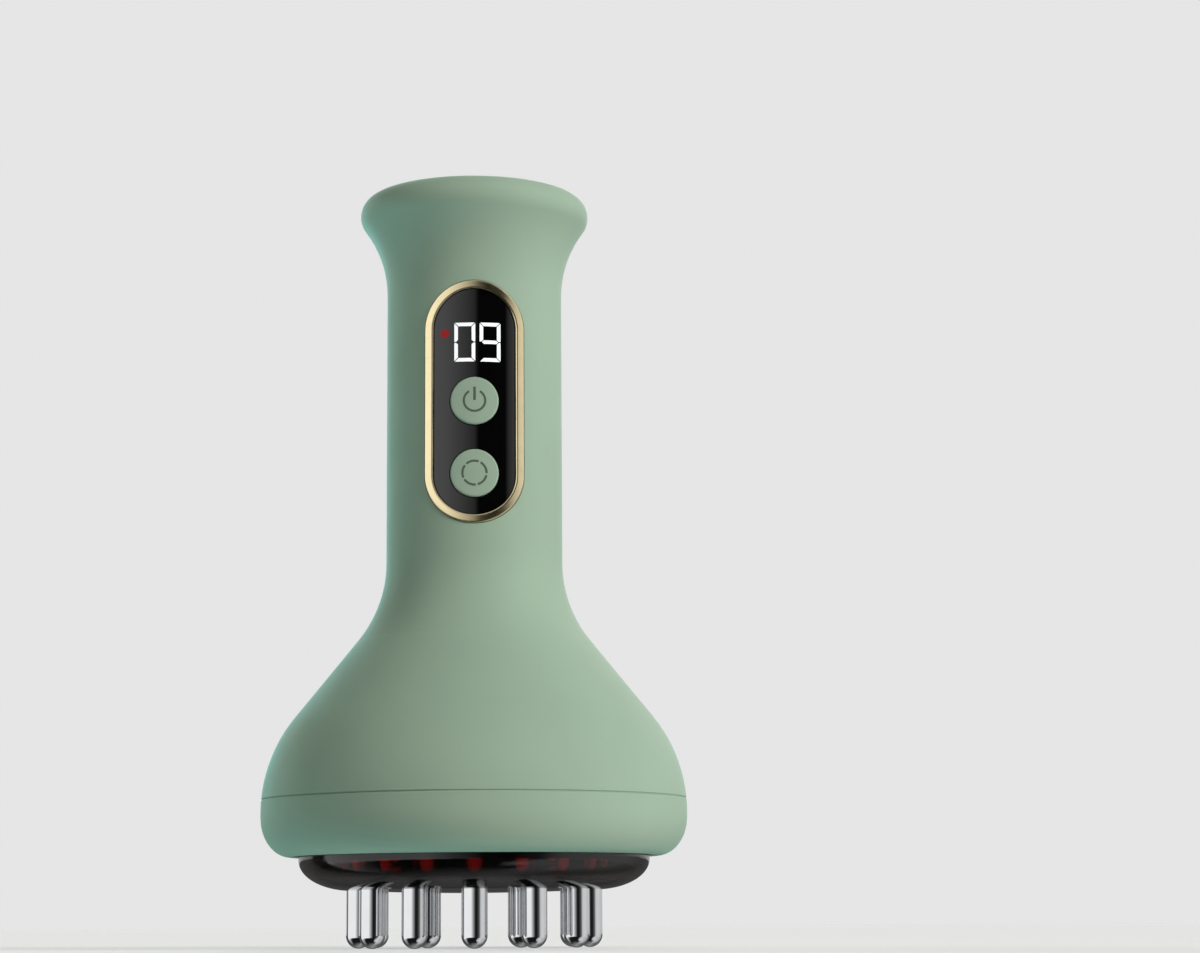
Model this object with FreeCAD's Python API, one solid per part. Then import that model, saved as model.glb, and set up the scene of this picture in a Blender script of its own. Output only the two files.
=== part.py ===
import FreeCAD, Part
import math
import os
from FreeCAD import Vector

# Electric meridian brush, in millimetres.
# Z points up the handle, height zero is at the tips of the pins, and the control panel faces -Y.

# Outer form of the body
base_radius = 44.0
widest_drop = 2.5
shoulder_radius = 30.9
slope_angle = 39.0
neck_radius = 26.0
handle_radius = 18.43
handle_length = 57.0
flare_radius = 24.6
flare_angle = 36.8
rim_radius = 4.1
wall = 2.2

# Seams of the body
seam_gap = 0.1
groove_width = 0.5
groove_depth = 0.3
tongue_reach = 1.6
tongue_gap = 0.1
tongue_end_gap = 2.0
skirt_reach = 3.25
skirt_thickness = 1.6
skirt_gap = 0.15
skirt_room = 0.7
gusset_inset = 0.3
bead_height = 0.3
bead_width = 1.2

# Base ring and its rounded lower lip
ring_wall = 2.4
lip_straight = 1.0
lip_rise = 0.55
lip_inner_width = 1.4
lip_edge_round = 0.9
ledge_height = 2.6

# Smoked bowl under the base
bowl_inset = 7.8
bowl_gap = 0.3
bowl_corner_across = 10.15
bowl_corner_height = 6.3
bowl_crown = 0.6
bowl_wall = 2.0
bowl_flange = 1.8

# Massage pins
pin_reach = 11.75
pin_radius = 2.6
pin_sink = 1.0
pin_hole_gap = 0.05
outer_pins = 12
inner_pins = 6
pin_ring_step = 12.75
stud_radius = 1.25
stud_end = 0.8
spacer_across_flats = 4.5
spacer_height = 3.85
spacer_gap = 0.05

# Board with the red lights
light_board_thickness = 1.2
light_board_gap = 0.4
light_count = 18
light_step = 3.2
light_depth = 1.2
light_width = 2.0
light_height = 0.8

# Motor, its frame and its clamp
frame_thickness = 2.0
frame_ring_width = 6.3
frame_arm = 12.0
frame_screw_count = 4
frame_edge_gap = 0.7
motor_radius = 6.0
motor_length = 20.0
motor_back = -14.0
motor_lift = 8.8
motor_seat_gap = 0.05
nose_length = 1.2
tag_length = 1.5
tag_width = 0.8
tag_thickness = 0.4
saddle_thickness = 2.5
rail_width = 3.2
rail_gap = 0.6
clamp_thickness = 1.6
clamp_length = 10.0
clamp_hole_floor = 1.5
shaft_radius = 1.0
shaft_gap = 0.08
shaft_bore_depth = 4.0
shaft_end_gap = 0.5
shaft_free_length = 10.0
weight_radius = 6.0
weight_length = 7.0
weight_end_gap = 1.0
weight_bore_gap = 0.02
hub_radius = 2.6

# Small screws
screw_radius = 1.0
screw_head_radius = 1.7
screw_head_height = 1.3
screw_hole_gap = 0.05
screw_tip_gap = 0.2

# Control panel
panel_lift = 2.9
bezel_width = 20.35
bezel_length = 50.6
bezel_band = 1.78
bezel_proud = 0.45
bezel_round = 0.4
panel_gap = 0.1
cover_recess = 0.13
pocket_depth = 0.7
deck_thickness = 1.6
row_share = 0.35

# Buttons and their switches
button_radius = 4.95
button_spacing = 3.2
button_proud = 0.6
button_round = 0.4
button_gap = 0.2
button_travel = 0.5
flange_width = 0.95
flange_thickness = 1.0
flange_gap = 0.1
stem_radius = 1.6
stem_length = 1.1
switch_side = 6.0
switch_height = 3.5
plunger_radius = 1.75
plunger_height = 1.3
plunger_sunk = 0.7
plunger_room = 0.4

# Control board and what stands on it
board_thickness = 1.6
board_margin = 4.0
board_edge = 2.8
post_radius = 2.3
post_inset = 1.0
post_end_inset = 0.7
display_shift = 0.8
display_gap = 1.6
display_width = 10.6
display_height = 9.6
display_air = 0.2
indicator_gap = 0.7
indicator_rise = 1.9
indicator_radius = 0.9
chip_side = 5.0
chip_height = 1.0
coil_side = 5.0
coil_height = 3.0
board_part_gap = 1.5
plug_width = 3.0
plug_pitch = 3.4
plug_height = 3.5
plug_depth = 3.0
plug_gap = 0.7
plug_edge = 0.5

# Rechargeable cell and its saddles
cell_gap = 0.8
cell_back_gap = 1.43
cell_seat_gap = 0.5
cell_lift = 6.8
cell_rise = 14.8
saddle_rib = 1.6
rib_gap = 0.5
rib_root = 0.5

# Charging inlet
charge_drop = 9.0
shelf_thickness = 1.6
shelf_margin = 1.2
charge_board_width = 13.0
charge_board_length = 10.0
charge_board_thickness = 1.2
charge_back_gap = 2.0
charge_screw_edge = 1.8
charge_post_height = 2.5
charge_post_floor = 0.5
inlet_width = 8.94
inlet_height = 3.26
inlet_length = 7.35
inlet_wall = 0.25
inlet_gap = 0.15
inlet_tongue_width = 6.7
inlet_tongue_height = 0.7
inlet_tongue_setback = 1.2
insert_thickness = 1.6
insert_gap = 0.05
recess_width = 12.6
recess_height = 7.0
recess_setback = 1.2
pad_margin = 1.0
pad_gap = 0.2

# Inner wiring
lead_radius = 0.5
lead_spread = 1.4
harness_radius = 1.0
lead_bend = 2.0
battery_lead_setback = 0.8
charge_lead_setback = 1.2
motor_lead_reach = 6.0

# How far cutting shapes run past what they cut
overshoot = 5.0
through = 1.0

# Share of a rounded corner's sides that its control points take, for a nearly elliptic corner
corner_fullness = 0.5523

# Heights of the stack in the head, from the tips of the pins up to the seam
bowl_edge = pin_reach
bowl_bottom = bowl_edge - bowl_crown
bowl_floor = bowl_edge + bowl_wall
bowl_corner_top = bowl_edge + bowl_corner_height
lip_bottom = bowl_corner_top + lip_rise
ledge_top = lip_bottom + ledge_height
flange_top = ledge_top + bowl_flange
frame_top = flange_top + frame_thickness
skirt_low = frame_top + screw_head_height + skirt_room
parting_height = skirt_low + skirt_reach
widest_height = parting_height - widest_drop
lip_start = widest_height - lip_straight
pin_seat = bowl_edge + pin_sink
spacer_top = bowl_floor + spacer_height
light_board_top = spacer_top + light_board_thickness
stud_top = light_board_top + stud_end
motor_axis = frame_top + motor_lift
motor_front = motor_back + motor_length

# Radii of the head
ring_inside = base_radius - ring_wall
bowl_radius = base_radius - bowl_inset
bowl_opening = bowl_radius + bowl_gap
bowl_inside = bowl_radius - bowl_wall
lip_radius = bowl_opening + lip_inner_width
flange_radius = ring_inside - frame_edge_gap
corner_radius = bowl_radius - bowl_corner_across
outer_pin_circle = corner_radius - spacer_across_flats / 2 - spacer_gap
inner_pin_circle = outer_pin_circle - pin_ring_step
light_circle = outer_pin_circle + light_step
screw_circle = (bowl_opening + flange_radius) / 2
screw_hole = screw_radius + screw_hole_gap

# Heights and radii of the body that follow from the sizes above
slope = math.radians(slope_angle)
flare = math.radians(flare_angle)
shoulder_centre = base_radius - shoulder_radius
shoulder_end_radius = shoulder_centre + shoulder_radius * math.cos(slope)
shoulder_end = widest_height + shoulder_radius * math.sin(slope)
neck_start_radius = handle_radius + neck_radius * (1 - math.cos(slope))
neck_start = shoulder_end + (shoulder_end_radius - neck_start_radius) / math.tan(slope)
handle_start = neck_start + neck_radius * math.sin(slope)
handle_top = handle_start + handle_length
flare_end_radius = handle_radius + flare_radius * (1 - math.cos(flare))
flare_end = handle_top + flare_radius * math.sin(flare)
rim_centre_radius = flare_end_radius - rim_radius * math.cos(flare)
rim_centre = flare_end + rim_radius * math.sin(flare)
top_height = rim_centre + rim_radius
handle_inside = handle_radius - wall

# Depths of the panel stack behind the front of the handle
bezel_face = handle_radius + bezel_proud
cover_face = handle_radius - cover_recess
button_face = cover_face + button_proud
pocket_half = bezel_width / 2 + panel_gap
deck_front = pocket_depth - math.sqrt(handle_radius ** 2 - pocket_half ** 2)
deck_back = deck_front + deck_thickness
flange_front = deck_back + flange_gap
flange_back = flange_front + flange_thickness
plunger_tip = flange_back + stem_length
switch_face = plunger_tip + plunger_height
board_front = switch_face + switch_height
board_back = board_front + board_thickness
post_side = math.sqrt(handle_inside ** 2 - deck_back ** 2) - post_inset
board_half = post_side + board_edge
plug_face = board_back + plug_depth
lead_depth = board_back + plug_depth / 2

# Heights of the panel and of the row of two buttons and the display in it
panel_centre = handle_start + handle_length / 2 + panel_lift
panel_bottom = panel_centre - bezel_length / 2
panel_top = panel_centre + bezel_length / 2
button_pitch = 2 * (button_radius + flange_width) + button_spacing
display_lift = button_radius + flange_width + display_gap + display_height / 2
row_below = button_pitch + button_radius + button_gap
row_above = display_lift + display_height / 2 + display_air
row_spare = bezel_length - 2 * bezel_band - row_below - row_above
power_height = panel_bottom + bezel_band + row_share * row_spare + row_below
button_heights = {"power": power_height, "mode": power_height - button_pitch}
display_centre = power_height + display_lift
indicator_shift = display_shift - display_width / 2 - indicator_gap - indicator_radius
indicator_centre = display_centre + indicator_rise
post_low = panel_bottom + post_end_inset
post_high = panel_top - post_end_inset

# Place of the cell between the control board and the rear wall, with the plugs below it
rib_front = tongue_reach + tongue_gap + rib_gap
cell_radius = (handle_inside - cell_back_gap - board_back - cell_gap) / 2
cell_centre = board_back + cell_gap + cell_radius
cell_bottom = handle_start + cell_lift
cell_top = handle_top + cell_rise
cell_length = cell_top - cell_bottom
plug_bottom = cell_bottom - plug_gap - plug_height
board_bottom = min(panel_bottom - board_margin, plug_bottom - plug_edge)
board_top = panel_top + board_margin

# Depths and heights of the charging inlet at the back of the neck
shelf_bottom = handle_start - charge_drop
shelf_top = shelf_bottom + shelf_thickness
charge_board_top = shelf_top + charge_board_thickness
charge_post_low = shelf_bottom - charge_post_height
inlet_centre = charge_board_top + inlet_height / 2
inlet_mouth = handle_radius - recess_setback
inlet_back = inlet_mouth - inlet_length
charge_board_back = handle_inside - charge_back_gap
charge_board_front = charge_board_back - charge_board_length
charge_screw_depth = charge_board_front + charge_screw_edge
charge_screw_side = charge_board_width / 2 - charge_screw_edge
shelf_front = charge_board_front - shelf_margin


def spot(radius, height):
    """Point of the turning profile."""
    return Vector(radius, 0, height)


def run(first, second):
    """Straight run of the turning profile."""
    return Part.makeLine(spot(*first), spot(*second))


def bow(centre, radius, start, end):
    """Arc of the turning profile, with its angles in radians from the outward direction."""
    ends = []
    for angle in (start, (start + end) / 2, end):
        ends.append(spot(centre[0] + radius * math.cos(angle), centre[1] + radius * math.sin(angle)))
    return Part.Arc(*ends).toShape()


def quarter(centre, first, second):
    """Quarter of an ellipse between two of its axis ends."""
    ends = [spot(*first), spot(*second)]
    middle = spot(*centre)
    ends.sort(key=lambda end: end.distanceToPoint(middle), reverse=True)
    curve = Part.Ellipse(ends[0], ends[1], middle)
    return Part.ArcOfEllipse(curve, 0, math.pi / 2).toShape()


def smooth_corner(first, rise, second):
    """Rounded corner that leaves its first end at a rising angle and meets its second end upright."""
    across = corner_fullness * (second[0] - first[0])
    upward = corner_fullness * (second[1] - first[1])
    poles = [spot(*first)]
    poles.append(spot(first[0] + across, first[1] + across * math.tan(rise)))
    poles.append(spot(second[0], second[1] - upward))
    poles.append(spot(*second))
    curve = Part.BezierCurve()
    curve.setPoles(poles)
    return curve.toShape()


def turned(edges):
    """Solid turned round the Z axis from a closed profile."""
    face = Part.Face(Part.Wire(Part.__sortEdges__(edges)))
    return face.revolve(Vector(0, 0, 0), Vector(0, 0, 1), 360)


def turned_polygon(corners):
    """Solid turned from a profile of straight runs."""
    closed = corners + corners[:1]
    return turned([run(closed[k], closed[k + 1]) for k in range(len(corners))])


def block(x_span, y_span, z_span):
    """Box between two values along each axis."""
    size = (x_span[1] - x_span[0], y_span[1] - y_span[0], z_span[1] - z_span[0])
    return Part.makeBox(*size, Vector(x_span[0], y_span[0], z_span[0]))


def rod(radius, start, end):
    """Round rod between two points."""
    line = Vector(*end) - Vector(*start)
    return Part.makeCylinder(radius, line.Length, Vector(*start), line)


def capsule(width, length, x_middle, z_middle, depth_span, upright=True):
    """Prism with a capsule outline, running along Y."""
    end_radius = min(width, length) / 2
    straight = max(width, length) / 2 - end_radius
    reach = (0, straight) if upright else (straight, 0)
    solid = None
    for side in (-1, 1):
        x_end = x_middle + side * reach[0]
        z_end = z_middle + side * reach[1]
        end = rod(end_radius, (x_end, depth_span[0], z_end), (x_end, depth_span[1], z_end))
        solid = end if solid is None else solid.fuse(end)
    x_half = max(reach[0], width / 2 if upright else 0)
    z_half = max(reach[1], 0 if upright else length / 2)
    middle = block((x_middle - x_half, x_middle + x_half), depth_span, (z_middle - z_half, z_middle + z_half))
    return solid.fuse(middle).removeSplitter()


def edges_at_radius(solid, radius):
    """Edges that lie wholly on a cylinder round the Z axis."""
    found = []
    for edge in solid.Edges:
        first, last = edge.ParameterRange
        places = [edge.valueAt(first + (last - first) * k / 4) for k in range(5)]
        if all(abs(math.hypot(place.x, place.y) - radius) < 1e-4 for place in places):
            found.append(edge)
    return found


def side_edges(inset):
    """Side of the body from the seam up to the middle of the top, moved inward."""
    outward = shoulder_radius - inset
    first_angle = math.asin((parting_height - widest_height) / outward)
    shoulder_stop = (shoulder_centre + outward * math.cos(slope), widest_height + outward * math.sin(slope))
    neck_middle = (handle_radius + neck_radius, handle_start)
    neck_inward = neck_radius + inset
    neck_begin_radius = neck_middle[0] - neck_inward * math.cos(slope)
    neck_begin = (neck_begin_radius, handle_start - neck_inward * math.sin(slope))
    flare_middle = (handle_radius + flare_radius, handle_top)
    rim_middle = (rim_centre_radius, rim_centre)
    rim = rim_radius - inset
    edges = [bow((shoulder_centre, widest_height), outward, first_angle, slope)]
    edges.append(run(shoulder_stop, neck_begin))
    edges.append(bow(neck_middle, neck_inward, math.pi + slope, math.pi))
    edges.append(run((handle_radius - inset, handle_start), (handle_radius - inset, handle_top)))
    edges.append(bow(flare_middle, flare_radius + inset, math.pi, math.pi - flare))
    edges.append(bow(rim_middle, rim, -flare, math.pi / 2))
    edges.append(run((rim_centre_radius, top_height - inset), (0, top_height - inset)))
    return edges


def seam_radius(inset):
    """Radius of the body at the seam, moved inward."""
    outward = shoulder_radius - inset
    return shoulder_centre + math.sqrt(outward ** 2 - (parting_height - widest_height) ** 2)


def body_band(outer_inset, inner_inset):
    """Turned wall between two depths below the outside of the body."""
    edges = side_edges(outer_inset) + side_edges(inner_inset)
    edges.append(run((0, top_height - outer_inset), (0, top_height - inner_inset)))
    edges.append(run((seam_radius(outer_inset), parting_height), (seam_radius(inner_inset), parting_height)))
    return turned(edges)


def body_filled(inset):
    """Solid inside of the body, from a depth below its outside."""
    edges = side_edges(inset)
    edges.append(run((0, top_height - inset), (0, parting_height)))
    edges.append(run((0, parting_height), (seam_radius(inset), parting_height)))
    return turned(edges)


def cable(corners, radius):
    """Round cable along straight runs with equal bends."""
    places = [Vector(*corner) for corner in corners]
    edges = []
    start = places[0]
    for k in range(1, len(places) - 1):
        back = (places[k - 1] - places[k]).normalize()
        ahead = (places[k + 1] - places[k]).normalize()
        half = back.getAngle(ahead) / 2
        trim = lead_bend / math.tan(half)
        bisector = (back + ahead).normalize()
        middle = places[k] + bisector * (lead_bend / math.sin(half) - lead_bend)
        bend_start = places[k] + back * trim
        bend_end = places[k] + ahead * trim
        edges.append(Part.makeLine(start, bend_start))
        edges.append(Part.Arc(bend_start, middle, bend_end).toShape())
        start = bend_end
    edges.append(Part.makeLine(start, places[-1]))
    ring = Part.Wire(Part.makeCircle(radius, places[0], places[1] - places[0]))
    return Part.Wire(edges).makePipeShell([ring], True, True)


def lead_pair(corners, radius):
    """Two cables side by side along the same corners."""
    pair = []
    for side in (-1, 1):
        shifted = [(x + side * lead_spread / 2, y, z) for x, y, z in corners]
        pair.append(cable(shifted, radius))
    return Part.makeCompound(pair)


def screw(seat, tip, radius=screw_radius):
    """Screw with a round head on its seat, pointing from the seat to the tip."""
    way = (Vector(*tip) - Vector(*seat)).normalize()
    head_top = Vector(*seat) - way * screw_head_height
    head = rod(screw_head_radius, tuple(head_top), seat)
    return head.fuse(rod(radius, seat, tip))


def ring_places(count, radius, first_angle=0.0):
    """Places evenly round a circle, counted from the front."""
    places = []
    for k in range(count):
        angle = math.radians(first_angle + 360.0 * k / count)
        places.append((radius * math.sin(angle), -radius * math.cos(angle), math.degrees(angle)))
    return places


parts = {}

# Body walls, cut at the side seams, with the skirt that enters the base ring
body = body_band(0, wall)
skirt_outside = ring_inside - skirt_gap
skirt_inside = skirt_outside - skirt_thickness
skirt_root = seam_radius(wall / 2)
bead_middle = parting_height - skirt_reach / 2
skirt = turned_polygon([
    (skirt_inside, skirt_low),
    (skirt_outside, skirt_low),
    (skirt_outside, bead_middle - bead_width / 2),
    (skirt_outside + bead_height, bead_middle),
    (skirt_outside, bead_middle + bead_width / 2),
    (skirt_outside, parting_height),
    (skirt_root, parting_height),
    (skirt_root - gusset_inset, parting_height + skirt_reach),
    (skirt_inside, parting_height + skirt_reach / 2),
])
groove_radius = seam_radius(0)
seam_groove = turned_polygon([
    (groove_radius - groove_depth, parting_height),
    (groove_radius + groove_depth, parting_height + groove_width),
    (groove_radius + groove_depth, parting_height - groove_width),
])
body = body.fuse(skirt).cut(seam_groove)
half_reach = base_radius + overshoot
tall = (0, top_height + overshoot)
front_side = block((-half_reach, half_reach), (-half_reach, -seam_gap / 2), tall)
rear_side = block((-half_reach, half_reach), (seam_gap / 2, half_reach), tall)
front_shell = body.common(front_side)
rear_shell = body.common(rear_side)

# Tongue of the front half in the rebate of the rear half
tongue_span = (parting_height + skirt_reach + tongue_end_gap, top_height - rim_radius - tongue_end_gap)
tongue_side = block((-half_reach, half_reach), (-through, tongue_reach), tongue_span)
tongue = body_band(wall / 2 + tongue_gap, wall - tongue_gap).common(tongue_side)
front_shell = front_shell.fuse(tongue)
rebate_span = (tongue_span[0] - tongue_gap, tongue_span[1] + tongue_gap)
rebate_side = block((-half_reach, half_reach), (-through, tongue_reach + tongue_gap), rebate_span)
rear_shell = rear_shell.cut(body_band(wall / 2, wall + tongue_gap).common(rebate_side))

# Pocket of the control panel in the front half, with a flat deck behind it
far_front = -base_radius
pocket = capsule(
    bezel_width + 2 * panel_gap, bezel_length + 2 * panel_gap, 0, panel_centre, (far_front, deck_front)
)
deck = capsule(bezel_width + wall, bezel_length + wall, 0, panel_centre, (deck_front, deck_back))
panel_tall = ((0, 0, board_bottom - overshoot), (0, 0, board_top + overshoot))
within_wall = rod(handle_radius - wall / 2, *panel_tall)
deck = deck.common(within_wall)
front_shell = front_shell.cut(pocket).fuse(deck)
post_places = [(side * post_side, height) for side in (-1, 1) for height in (post_low, post_high)]
for x_post, z_post in post_places:
    post = rod(post_radius, (x_post, deck_front, z_post), (x_post, board_front, z_post))
    front_shell = front_shell.fuse(post.common(within_wall))
for x_post, z_post in post_places:
    hole_start = (x_post, deck_back, z_post)
    hole_end = (x_post, board_front, z_post)
    front_shell = front_shell.cut(rod(screw_hole, hole_start, hole_end))
window_left = indicator_shift - indicator_radius - display_air
window_right = display_shift + display_width / 2 + display_air
window_half = display_height / 2 + display_air
window = block(
    (window_left, window_right),
    (deck_front - through, deck_back + through),
    (display_centre - window_half, display_centre + window_half),
)
front_shell = front_shell.cut(window)
for height in button_heights.values():
    hole_ends = [(0, depth, height) for depth in (deck_front - through, deck_back + through)]
    hole = rod(button_radius + button_gap, *hole_ends)
    front_shell = front_shell.cut(hole)
parts["front_shell"] = front_shell

# Saddles and end stops of the cell in the rear half
room = body_filled(wall - rib_root)
rib_reach = handle_radius + flare_radius
saddle_heights = [cell_bottom + cell_length * share for share in (0.1, 0.5, 0.9)]
cell_way_half = cell_radius + cell_seat_gap
cell_way = block((-cell_way_half, cell_way_half), (-overshoot, cell_centre), tall)
cell_seat = rod(cell_way_half, (0, cell_centre, 0), (0, cell_centre, top_height))
for height in saddle_heights:
    rib_span = (height - saddle_rib / 2, height + saddle_rib / 2)
    rib = block((-rib_reach, rib_reach), (rib_front, rib_reach), rib_span)
    rear_shell = rear_shell.fuse(rib.common(room).cut(cell_way).cut(cell_seat))
lead_way = block((-plug_pitch, 0), (-overshoot, cell_centre), tall)
for stop_low in (cell_bottom - cell_seat_gap - saddle_rib, cell_top + cell_seat_gap):
    stop = block((-rib_reach, rib_reach), (rib_front, rib_reach), (stop_low, stop_low + saddle_rib))
    rear_shell = rear_shell.fuse(stop.common(room).cut(lead_way))

# Shelf and pad of the charging inlet in the rear half
shelf = block((-rib_reach, rib_reach), (shelf_front, rib_reach), (shelf_bottom, shelf_top)).common(room)
pad_half = recess_width / 2 + pad_margin
pad_top = inlet_centre + recess_height / 2 + pad_margin
pad_front = charge_board_back + pad_gap
pad = block((-pad_half, pad_half), (pad_front, rib_reach), (shelf_bottom, pad_top)).common(room)
rear_shell = rear_shell.fuse(shelf).fuse(pad)
charge_screw_places = [(side * charge_screw_side, charge_screw_depth) for side in (-1, 1)]
charge_hole_low = charge_post_low + charge_post_floor
for x_post, y_post in charge_screw_places:
    post = rod(post_radius, (x_post, y_post, charge_post_low), (x_post, y_post, shelf_bottom))
    hole = rod(screw_hole, (x_post, y_post, charge_hole_low), (x_post, y_post, shelf_top))
    rear_shell = rear_shell.fuse(post).cut(hole)
recess = capsule(recess_width, recess_height, 0, inlet_centre, (inlet_mouth, base_radius), upright=False)
inlet_hole = capsule(
    inlet_width + 2 * inlet_gap,
    inlet_height + 2 * inlet_gap,
    0,
    inlet_centre,
    (inlet_back, base_radius),
    upright=False,
)
rear_shell = rear_shell.cut(recess).cut(inlet_hole)
parts["rear_shell"] = rear_shell

# Base ring with its ledge, its rounded lip and the groove for the skirt bead
lip_edge = (bowl_opening, lip_bottom + lip_edge_round)
shoulder_low = math.asin((parting_height - widest_height) / shoulder_radius)
ring_edges = [run((ring_inside, parting_height), (seam_radius(0), parting_height))]
ring_edges.append(bow((shoulder_centre, widest_height), shoulder_radius, shoulder_low, 0))
ring_edges.append(run((base_radius, widest_height), (base_radius, lip_start)))
ring_edges.append(quarter((lip_radius, lip_start), (base_radius, lip_start), (lip_radius, lip_bottom)))
ring_edges.append(quarter((lip_radius, lip_edge[1]), (lip_radius, lip_bottom), lip_edge))
ring_edges.append(run(lip_edge, (bowl_opening, ledge_top)))
ring_edges.append(run((bowl_opening, ledge_top), (ring_inside, ledge_top)))
ring_edges.append(run((ring_inside, ledge_top), (ring_inside, parting_height)))
bead_groove = turned_polygon([
    (ring_inside - skirt_gap, bead_middle - bead_width / 2 - skirt_gap),
    (ring_inside + bead_height, bead_middle),
    (ring_inside - skirt_gap, bead_middle + bead_width / 2 + skirt_gap),
])
base_ring = turned(ring_edges).cut(seam_groove).cut(bead_groove)
frame_screw_places = ring_places(frame_screw_count, screw_circle, 180.0 / frame_screw_count)
screw_floor = lip_bottom + lip_edge_round
for x_hole, y_hole, angle in frame_screw_places:
    hole = rod(screw_hole, (x_hole, y_hole, screw_floor - screw_tip_gap), (x_hole, y_hole, ledge_top))
    base_ring = base_ring.cut(hole)
parts["base_ring"] = base_ring

# Smoked bowl, flat inside, slightly crowned below
bottom_radius = (corner_radius ** 2 + bowl_crown ** 2) / (2 * bowl_crown)
crown_half = math.asin(corner_radius / bottom_radius)
bowl_edges = [bow((0, bowl_bottom + bottom_radius), bottom_radius, -math.pi / 2, crown_half - math.pi / 2)]
bowl_edges.append(smooth_corner((corner_radius, bowl_edge), crown_half, (bowl_radius, bowl_corner_top)))
bowl_edges.append(run((bowl_radius, bowl_corner_top), (bowl_radius, ledge_top)))
bowl_edges.append(run((bowl_radius, ledge_top), (flange_radius, ledge_top)))
bowl_edges.append(run((flange_radius, ledge_top), (flange_radius, flange_top)))
bowl_edges.append(run((flange_radius, flange_top), (bowl_inside, flange_top)))
bowl_edges.append(run((bowl_inside, flange_top), (bowl_inside, bowl_corner_top)))
bowl_edges.append(
    quarter((corner_radius, bowl_corner_top), (bowl_inside, bowl_corner_top), (corner_radius, bowl_floor))
)
bowl_edges.append(run((corner_radius, bowl_floor), (0, bowl_floor)))
bowl_edges.append(run((0, bowl_floor), (0, bowl_bottom)))
bowl = turned(bowl_edges)
middle_pin = (0.0, 0.0, 0.0)
pin_places = ring_places(outer_pins, outer_pin_circle) + ring_places(inner_pins, inner_pin_circle)
pin_places.append(middle_pin)
for x_pin, y_pin, angle in pin_places:
    bowl = bowl.cut(rod(pin_radius + pin_hole_gap, (x_pin, y_pin, 0), (x_pin, y_pin, pin_seat)))
    bowl = bowl.cut(rod(stud_radius + pin_hole_gap, (x_pin, y_pin, 0), (x_pin, y_pin, bowl_floor + through)))
for x_hole, y_hole, angle in frame_screw_places:
    hole = rod(screw_hole, (x_hole, y_hole, ledge_top), (x_hole, y_hole, flange_top))
    bowl = bowl.cut(hole)
parts["lens_bowl"] = bowl

# Massage pins with a round tip, a shoulder sunk in the bowl and a stud
pin = turned([
    bow((0, pin_radius), pin_radius, -math.pi / 2, 0),
    run((pin_radius, pin_radius), (pin_radius, pin_seat)),
    run((pin_radius, pin_seat), (stud_radius, pin_seat)),
    run((stud_radius, pin_seat), (stud_radius, stud_top)),
    run((stud_radius, stud_top), (0, stud_top)),
    run((0, stud_top), (0, 0)),
])
for number, (x_pin, y_pin, angle) in enumerate(pin_places, start=1):
    placed = pin.copy()
    placed.translate(Vector(x_pin, y_pin, 0))
    parts["massage_pin_%d" % number] = placed

# Hexagon spacers that clamp the pins to the bowl and carry the light board
spacers = []
for x_pin, y_pin, angle in pin_places:
    corners = []
    for k in range(7):
        way = math.radians(angle + 60 * k)
        across = spacer_across_flats / math.sqrt(3)
        corners.append(Vector(x_pin + across * math.cos(way), y_pin + across * math.sin(way), bowl_floor))
    spacer = Part.Face(Part.makePolygon(corners)).extrude(Vector(0, 0, spacer_height))
    bore = rod(stud_radius + pin_hole_gap, (x_pin, y_pin, bowl_floor), (x_pin, y_pin, spacer_top))
    spacers.append(spacer.cut(bore))
parts["pin_nuts"] = Part.makeCompound(spacers)

# Light board on the spacers, with the red lights under it
light_board = rod(bowl_inside - light_board_gap, (0, 0, spacer_top), (0, 0, light_board_top))
for x_pin, y_pin, angle in pin_places:
    hole = rod(stud_radius + 2 * pin_hole_gap, (x_pin, y_pin, spacer_top), (x_pin, y_pin, light_board_top))
    light_board = light_board.cut(hole)
parts["led_board"] = light_board
lights = []
for x_light, y_light, angle in ring_places(light_count, light_circle):
    light = block(
        (-light_width / 2, light_width / 2),
        (-light_circle - light_depth / 2, -light_circle + light_depth / 2),
        (spacer_top - light_height, spacer_top),
    )
    light.rotate(Vector(0, 0, 0), Vector(0, 0, 1), angle)
    lights.append(light)
parts["red_leds"] = Part.makeCompound(lights)

# Motor frame that clamps the bowl, with saddles and rails for the motor
clamp_middle = motor_back + motor_length / 2
rail_inside = motor_radius + clamp_thickness + rail_gap
rail_outside = rail_inside + rail_width
cradle_half = clamp_length / 2 + saddle_thickness
cradle_span = (clamp_middle - cradle_half, clamp_middle + cradle_half)
frame = rod(flange_radius, (0, 0, flange_top), (0, 0, frame_top))
frame = frame.cut(rod(flange_radius - frame_ring_width, (0, 0, flange_top), (0, 0, frame_top)))
arm_end = flange_radius - frame_ring_width / 2
arm = block((-arm_end, arm_end), (-frame_arm / 2, frame_arm / 2), (flange_top, frame_top))
plate = block(cradle_span, (-rail_outside, rail_outside), (flange_top, frame_top))
frame = frame.fuse(arm).fuse(plate)
for side in (-1, 1):
    rail_span = sorted((side * rail_inside, side * rail_outside))
    frame = frame.fuse(block(cradle_span, rail_span, (frame_top, motor_axis)))
for saddle_start in (cradle_span[0], cradle_span[1] - saddle_thickness):
    saddle_span = (saddle_start, saddle_start + saddle_thickness)
    frame = frame.fuse(block(saddle_span, (-rail_inside, rail_inside), (frame_top, motor_axis)))
bed_ends = [(end, 0, motor_axis) for end in cradle_span]
motor_bed = rod(motor_radius + motor_seat_gap, *bed_ends)
frame = frame.cut(motor_bed)
clamp_screw_side = (rail_inside + rail_outside) / 2
clamp_hole_low = frame_top + clamp_hole_floor
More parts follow.
